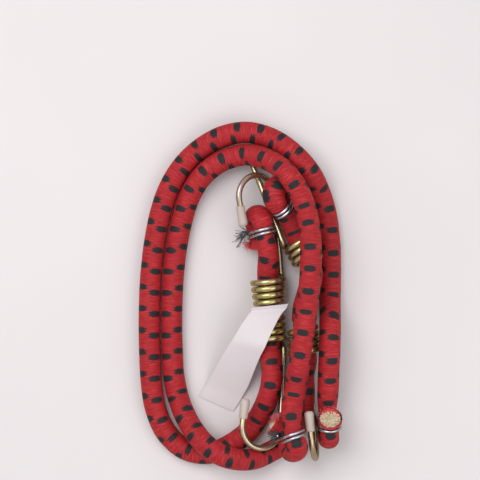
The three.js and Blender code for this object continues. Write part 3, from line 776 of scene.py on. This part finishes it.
def make_cord(which):
    """Sweeps a cover along its route, with slow unevenness and a flare that fades exponentially from each cut
    end. Folds swell, and what would lie below the table is pressed flat. A second UV map holds the drift of
    the marks."""
    settings = bpy.context.scene.bungee_cord
    line, run = resample(catmull(cord_points(which)), settings.step)
    cut = int(round(CUT_BACK[which] / settings.step))
    line, start = line[cut:], run[cut]
    run = run[cut:] - start
    rng = np.random.default_rng(COVER_SEED + which)
    slow = np.interp(run, np.linspace(0, run[-1], WOBBLE_KNOTS), rng.normal(0, 1, WOBBLE_KNOTS))
    first, last = FLARE[which]
    radii = cord_radii(line, which) * (1 + WOBBLE * slow)
    radii = radii * (1 + first * np.exp(-run / FLARE_REACH) + last * np.exp((run - run[-1]) / FLARE_REACH))
    # the first cut end stands up a little
    lift = np.clip(1 - run / LIFT_REACH, 0, 1) ** 2 * END_LIFT[which]
    place = line + lift[:, None] * [0, 0, 1] + SHIFT
    # the cover's edge rolls in over the core at both ends
    t0, t1 = unit(place[0] - place[1]), unit(place[-1] - place[-2])
    points = np.vstack([[place[0] + t0 * d for d, _ in LIP[::-1]], place,
                        [place[-1] + t1 * d for d, _ in LIP]])
    sizes = np.r_[[radii[0] * k for _, k in LIP[::-1]], radii, [radii[-1] * k for _, k in LIP]]
    along = np.r_[run[0] - LIP_RUN[::-1], run, run[-1] + LIP_RUN] * 1000
    _, n, b = carried(place, int(np.argmin(line[:, 0])))
    n, b = (np.pad(q, ((len(LIP), len(LIP)), (0, 0)), mode="edge") for q in (n, b))
    ring = circles(points, sizes, n, b, settings.around)
    for key, close in zip(KNOBS_OF[which], (run < SWELL_END, run > run[-1] - SWELL_END)):
        swell(ring[len(LIP):-len(LIP)], key, close)
    ring[..., 2] = np.maximum(ring[..., 2], 0.0)
    vertices, faces, uv = ring_mesh(ring, ROUND_MM, along)
    obj = new_object(f"cord_{which}_braid", vertices, faces, uv)
    drift = np.array(MARK_DRIFT[which], float)
    uv = uv + [0, start * 1000]
    uv = uv + np.column_stack([np.interp(uv[:, 1], drift[:, 0], drift[:, k]) for k in (1, 2)])
    obj.data.uv_layers.new(name="MarkMap").data.foreach_set("uv", uv.astype(np.float32).ravel())
    dress(obj, "braid", "bundle", (f"cord_{which}_sheath", f"cord_{which}_core"))
    return obj, place, run, (radii[0], radii[-1])


def core_end(name, end, direction, radius, seed):
    """Cut rubber strands, evenly spaced: strand i of n is i golden angles round, at the share
    sqrt((i + 1/2) / n) of the radius. Each is lifted by chance, and less toward the rim."""
    rng = np.random.default_rng(seed)
    t = unit(direction)
    x, y = square_to(t)
    vertices, faces = [], []
    angles = 2 * np.pi * np.arange(STRAND_SIDES) / STRAND_SIDES
    for i in range(STRANDS):
        far, turn = radius * math.sqrt((i + 0.5) / STRANDS), i * math.pi * (3 - math.sqrt(5))
        cx = far * math.cos(turn) + rng.normal(0, STRAND_SHIFT)
        cy = far * math.sin(turn) + rng.normal(0, STRAND_SHIFT)
        lift = STRAND_LIFT + rng.uniform(*STRAND_SPREAD) - STRAND_FALL * (far / radius) ** 4
        rows = []
        for height, share in STRAND_OUTLINE:
            r, h = STRAND_R * share, height + (lift if height >= 0 else 0)
            rows.append(range(len(vertices), len(vertices) + STRAND_SIDES))
            vertices += [end + t * h + x * (cx + r * math.cos(a)) + y * (cy + r * math.sin(a))
                         for a in angles]
        for low, high in zip(rows, rows[1:]):
            faces += [(low[q], low[(q + 1) % STRAND_SIDES], high[(q + 1) % STRAND_SIDES], high[q])
                      for q in range(STRAND_SIDES)]
        faces += [tuple(rows[-1]), tuple(reversed(rows[0]))]
    return new_object(name, vertices, faces)


def fibres(name, strands, radius, look, slot):
    """Loose yarn ends as one curve."""
    curve = bpy.data.curves.new(name, "CURVE")
    curve.dimensions = "3D"
    curve.bevel_depth = radius
    curve.bevel_resolution = 1
    curve.use_fill_caps = True
    for strand in strands:
        spline = curve.splines.new("POLY")
        spline.points.add(len(strand) - 1)
        for point, place in zip(spline.points, strand):
            point.co = (*place, 1.0)
    dress(add_object(name, curve), look, "bundle")


def tuft(rng, root, direction, count, length, spread, curl, ring=0.0):
    """Strands round a root that lean along a direction. They take equal steps, and each step's heading is
    the last plus its share of a bend drawn by chance."""
    t = unit(direction)
    x, y = square_to(t)
    out = []
    for _ in range(count):
        a = rng.uniform(0, 2 * np.pi)
        radial = x * math.cos(a) + y * math.sin(a)
        p = root + radial * (ring if ring else rng.uniform(0, spread * YARN_APART))
        heading = t + radial * rng.normal(*YARN_LEAN) * spread + rng.normal(0, YARN_STRAY, 3)
        size = length * rng.uniform(*YARN_SHARE)
        bend = rng.normal(0, curl, 3)
        points = [p]
        for _ in range(YARN_STEPS):
            heading = unit(heading) + bend / YARN_STEPS
            p = p + unit(heading) * size / YARN_STEPS
            points.append(p)
        strand = np.array(points)
        strand[:, 2] = np.maximum(strand[:, 2], YARN_LOWEST)
        out.append(strand)
    return out


def hook_line(per_turn):
    """One wire in the hook's own frame: the coil's radius and rise grow evenly with its angle, a quarter
    circle turns the wire up into the leaning shank, an arc of BEND_R leads over the apex, and the leg comes
    down inward. Gives the line, the sleeve's end and the way down the leg."""
    wire, span = wire_d(), COIL_TURNS * COIL_PITCH
    out = -TURN_OUT / COIL_NEAR
    t = np.linspace(0, 1, int(COIL_TURNS * per_turn) + 1)
    a = out - 2 * np.pi * COIL_TURNS * (1 - t)
    r = COIL_FAR + (COIL_NEAR - COIL_FAR) * t
    coil = np.column_stack([r * np.cos(a), t * span, -r * np.sin(a)])
    back = unit(vec([math.sin(a[0]), -COIL_PITCH / (2 * np.pi * r[0]), math.cos(a[0])]))
    lead = coil[0] + back * wire * np.linspace(1, 0, LEAD_STEPS)[:-1, None]
    b = np.linspace(0, np.pi / 2, TURN_STEPS)[1:]
    s = out + TURN_OUT * np.sin(b) / COIL_NEAR
    turn = np.column_stack([COIL_NEAR * np.cos(s), span + TURN_OUT * (1 - np.cos(b)),
                            -COIL_NEAR * np.sin(s)])
    base = turn[-1]
    apex = span + wire / 2 + REACH
    lean, turn_in = math.radians(SHANK_LEAN), math.radians(LEG_LEAN)
    up = vec([-math.sin(lean), math.cos(lean)])
    inward = vec([-math.cos(lean), -math.sin(lean)])
    end = base[:2] + up * ((apex - BEND_R - base[1] - inward[1] * BEND_R) / up[1])
    shank = base[:2] + (end - base[:2]) * np.linspace(0, 1, SHANK_STEPS)[1:, None]
    g = np.linspace(lean, math.pi + turn_in, BEND_STEPS)[1:]
    bend = end + inward * BEND_R + BEND_R * np.column_stack([np.cos(g), np.sin(g)])
    down = vec([math.sin(turn_in), -math.cos(turn_in)])
    tip_end = bend[-1] + down * ((bend[-1][1] - (apex - TIP_BACK)) / math.cos(turn_in))
    wire_end = tip_end - down * WIRE_SHORT
    leg = bend[-1] + (wire_end - bend[-1]) * np.linspace(0, 1, LEG_STEPS)[1:, None]
    flat = np.vstack([shank, bend, leg])
    line = np.vstack([lead, coil, turn, np.column_stack([flat, np.zeros(len(flat))])])
    return line, np.r_[tip_end, 0], np.r_[down, 0]


def make_hook(key):
    """The wire, a tube with its cut end slightly rounded, and the sleeve, an outline turned round its leg."""
    settings = bpy.context.scene.bungee_hook
    line, tip_end, down = hook_line(settings.per_turn)
    matrix = hook_matrix(HOOKS[key])
    wire = placed(line, matrix) + SHIFT
    first = wire[0] - unit(wire[1] - wire[0]) * WIRE_ROUND[0]
    radii = np.r_[wire_d() / 2 * WIRE_ROUND[1], np.full(len(wire), wire_d() / 2)]
    body = f"hook_{key}"
    obj = tube(f"hook_{key}_bent_wire", np.vstack([first, wire]), radii, settings.sides)
    dress(obj, "zinc", body, (f"hook_{key}_wire",))
    start = tip_end - down * TIP_LEN
    along = np.array([start + down * TIP_LEN * t for t, _ in SLEEVE])
    sizes = np.array([r for _, r in SLEEVE])
    obj = tube(f"hook_{key}_sleeve", placed(along, matrix) + SHIFT, sizes, SLEEVE_SIDES)
    dress(obj, "vinyl", body, (f"hook_{key}_tip",))


def tie_line(key):
    """Turns round both legs: two half circles joined by straights, rising evenly, with loose ends."""
    at, u, w = knob_frame(key)
    v = np.cross(u, w)
    r = cord_d() / 2 - PINCH + TIE_CLEAR + TIE_R
    loop = []
    for _ in range(TIE_TURNS):
        for side in (1, -1):
            for i in range(TIE_STEPS + 1):
                a = math.pi * i / TIE_STEPS - math.pi / 2
                loop.append((side * (LEG_HALF + r * math.cos(a)), side * r * math.sin(a)))
    loop.insert(0, (loop[0][0] - TIE_TAIL, loop[0][1]))
    loop.append((loop[-1][0] + TIE_TAIL, loop[-1][1]))
    run = run_of(np.array(loop))
    along = TIE_PITCH * TIE_TURNS * (run / run[-1] - 0.5)
    return np.array([at + w * x + v * y + u * z for (x, y), z in zip(loop, along)])


def make_tie(key):
    """A tube of wire along the tie's line."""
    line = resample(tie_line(key), TIE_STEP)[0] + SHIFT
    obj = tube(f"tie_{key}_wire", line, np.full(len(line), TIE_R), TIE_SIDES)
    dress(obj, "steel", "bundle", (f"clip_{key}",))


def make_tag():
    """Strip along the rows' middles with their ways across smoothed, and waves that fade at both ends."""
    at = vec([row[0] for row in TAG_ROWS])
    across = vec([row[1] for row in TAG_ROWS])
    line, run = resample(catmull(at, 20), TAG_STEP)
    knots = run_of(at)
    share = run / run[-1]
    across = np.column_stack([np.interp(share * knots[-1], knots, across[:, k]) for k in range(3)])
    for _ in range(TAG_ROUNDS):
        across[1:-1] = (across[:-2] + 2 * across[1:-1] + across[2:]) / 4
    line = line + SHIFT
    columns = np.linspace(-0.5, 0.5, TAG_COLUMNS)
    normal = np.cross(across, np.gradient(line, axis=0))
    normal /= np.linalg.norm(normal, axis=1)[:, None]
    phase = TAG_RADIANS[0] * share[:, None] + TAG_RADIANS[1] * columns[None, :]
    wave = TAG_WAVE * np.sin(phase) * np.sin(np.pi * share)[:, None]
    top = line[:, None, :] + across[:, None, :] * (columns * TAG_WIDTH)[None, :, None]
    top = top + normal[:, None, :] * (wave + TAG_THICK / 2)[..., None]
    under = top - normal[:, None, :] * TAG_THICK
    rings = np.concatenate([top, under[:, ::-1]], axis=1)
    obj = new_object("tag_paper_strip", *ring_mesh(rings), smooth=False)
    dress(obj, "paper", "bundle", ("tag",))


class BUNGEE_OT_camera(bpy.types.Operator):
    """Put the camera straight above the bundle"""

    bl_idname = "bungee.camera"
    bl_label = "Camera"

    def execute(self, context):
        data = bpy.data.cameras.new("camera")
        camera = add_object("camera", data)
        data.sensor_width = SENSOR
        data.lens = SENSOR * (CAMERA_HEIGHT - SCALE_HEIGHT) / (PIXELS * PIXEL)
        data.clip_end = 10.0
        camera.location = (VIEW_CENTRE[0] + SHIFT[0], VIEW_CENTRE[1] + SHIFT[1], CAMERA_HEIGHT)
        context.scene.camera = camera
        return {"FINISHED"}


class BUNGEE_OT_cord(bpy.types.Operator):
    """Make one braided cord with its cut rubber ends"""

    bl_idname = "bungee.cord"
    bl_label = "Braided cord"
    which: IntProperty(name="Cord", description="Outer 1 or inner 2", default=1, min=1, max=2)

    def execute(self, context):
        which = self.which
        obj, place, run, (first, last) = make_cord(which)
        for label, end, before, r in (("start", place[0], place[3], first),
                                      ("end", place[-1], place[-4], last)):
            piece = core_end(f"cord_{which}_strands_{label}", end, end - before,
                             r * LIP[-1][1] - CORE_CLEAR, CORE_SEED + which)
            dress(piece, "rubber", "bundle")
        return {"FINISHED"}


class BUNGEE_OT_hook(bpy.types.Operator):
    """Make one hook of bent wire with its sleeve"""

    bl_idname = "bungee.hook"
    bl_label = "Wire hook"
    key: StringProperty(name="Hook", description="Letter of the hook, a to d", default="a")

    def execute(self, context):
        make_hook(self.key)
        return {"FINISHED"}


class BUNGEE_OT_ties(bpy.types.Operator):
    """Make the wire ties round the folded ends"""

    bl_idname = "bungee.ties"
    bl_label = "Wire ties"

    def execute(self, context):
        for key in KNOBS:
            make_tie(key)
        return {"FINISHED"}


class BUNGEE_OT_tag(bpy.types.Operator):
    """Make the blank paper tag"""

    bl_idname = "bungee.tag"
    bl_label = "Paper tag"

    def execute(self, context):
        make_tag()
        return {"FINISHED"}


class BUNGEE_OT_fibres(bpy.types.Operator):
    """Make the loose yarn at the cut ends"""

    bl_idname = "bungee.fibres"
    bl_label = "Loose yarn"

    def execute(self, context):
        count = context.scene.bungee_cord.fibres
        rng = np.random.default_rng(YARN_SEED)
        yarn = {kind: [] for kind in YARN_R}
        for key in KNOBS:
            points = fold_points(key) + SHIFT
            end, way = points[-1], points[-1] - points[-2]
            yarn["red"] += tuft(rng, end - way * 0.1, way, count, *RIM_YARN)
        for kind, root, way, share, length, spread in YARN:
            root = vec(root) + SHIFT
            yarn[kind] += tuft(rng, root, vec(way), int(count * share), length, spread, YARN_CURL)
        for kind, radius in YARN_R.items():
            fibres(f"loose_{kind}_yarn", yarn[kind], radius, f"{kind}_fibre", "sheath")
        return {"FINISHED"}


class BUNGEE_OT_stage(bpy.types.Operator):
    """Make the floor, the sky and the lamps"""

    bl_idname = "bungee.stage"
    bl_label = "Stage"

    def execute(self, context):
        far = FLOOR_HALF
        corners = [(-far, -far, 0), (far, -far, 0), (far, far, 0), (-far, far, 0)]
        floor = new_object("floor", corners, [(0, 1, 2, 3)], smooth=False)
        surface, g, bsdf = material("floor_surface")
        pale = g.mix(g.grain(9.0, 2.0), rgb(216, 210, 210), rgb(222, 216, 216))
        # the floor is dim in the metal, as in a shaded bag
        glossy = g.node("ShaderNodeLightPath").outputs["Is Glossy Ray"]
        g.coat(bsdf, {"Base Color": g.mix(glossy, pale, rgb(190, 176, 166)), "Roughness": 0.9,
                      "Specular IOR Level": 0.2})
        floor.data.materials.append(surface)
        world = bpy.data.worlds.new("world")
        context.scene.world = world
        world.use_nodes = True
        g = Graph(world.node_tree)
        sky = world.node_tree.nodes["Background"]
        sky.inputs[0].default_value = (0.96, 0.97, 1.0, 1.0)
        # the metal sees a room that brightens overhead by a power of the height
        path = g.node("ShaderNodeLightPath").outputs
        high = g.node("ShaderNodeTexCoord").outputs["Generated"]
        high = g.node("ShaderNodeSeparateXYZ", inputs={0: high}).outputs[2]
        overhead = g.mul(g.math("POWER", g.math("MAXIMUM", high, 0.0), SKY_POWER), SKY_TOP)
        plain = g.add(SKY_PLAIN, g.mul(path["Is Camera Ray"], SKY_SEEN))
        room = g.sub(g.add(SKY_LEVEL, overhead), plain)
        g.put(sky.inputs[1], g.add(plain, g.mul(path["Is Glossy Ray"], room)))
        for name, place, size, power in LAMPS:
            light = bpy.data.lights.new(name, "AREA")
            light.energy = power
            light.size = size
            lamp = add_object(name, light)
            lamp.location = place
            lamp.rotation_euler = (-Vector(place)).to_track_quat("-Z", "Y").to_euler()
        context.scene.view_settings.view_transform = "Standard"
        return {"FINISHED"}


class BUNGEE_PT_panel(bpy.types.Panel):
    """Settings and buttons for the bundle's pieces"""

    bl_idname = "BUNGEE_PT_panel"
    bl_label = "Bungee cords"
    bl_space_type = "VIEW_3D"
    bl_region_type = "UI"
    bl_category = "Bungee"

    def draw(self, context):
        layout = self.layout
        for settings in (context.scene.bungee_cord, context.scene.bungee_hook):
            for name in type(settings).__annotations__:
                layout.prop(settings, name)
        for operator in OPERATORS:
            layout.operator(operator.bl_idname)


OPERATORS = (
    BUNGEE_OT_camera, BUNGEE_OT_cord, BUNGEE_OT_hook, BUNGEE_OT_ties, BUNGEE_OT_tag, BUNGEE_OT_fibres,
    BUNGEE_OT_stage,
)
CLASSES = (BungeeCordSettings, BungeeHookSettings, *OPERATORS, BUNGEE_PT_panel)


def register():
    """Registers the classes and hangs the settings on the scene."""
    for cls in CLASSES:
        bpy.utils.register_class(cls)
    bpy.types.Scene.bungee_cord = PointerProperty(type=BungeeCordSettings)
    bpy.types.Scene.bungee_hook = PointerProperty(type=BungeeHookSettings)


def unregister():
    """Takes back what register did."""
    del bpy.types.Scene.bungee_hook
    del bpy.types.Scene.bungee_cord
    for cls in reversed(CLASSES):
        bpy.utils.unregister_class(cls)


def main():
    """Makes every piece in order."""
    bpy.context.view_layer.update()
    register()
    bpy.ops.bungee.camera()
    bpy.ops.bungee.cord(which=1)
    bpy.ops.bungee.cord(which=2)
    for key in HOOKS:
        bpy.ops.bungee.hook(key=key)
    bpy.ops.bungee.ties()
    bpy.ops.bungee.tag()
    bpy.ops.bungee.fibres()
    bpy.ops.bungee.stage()


if __name__ == "__main__":
    main()
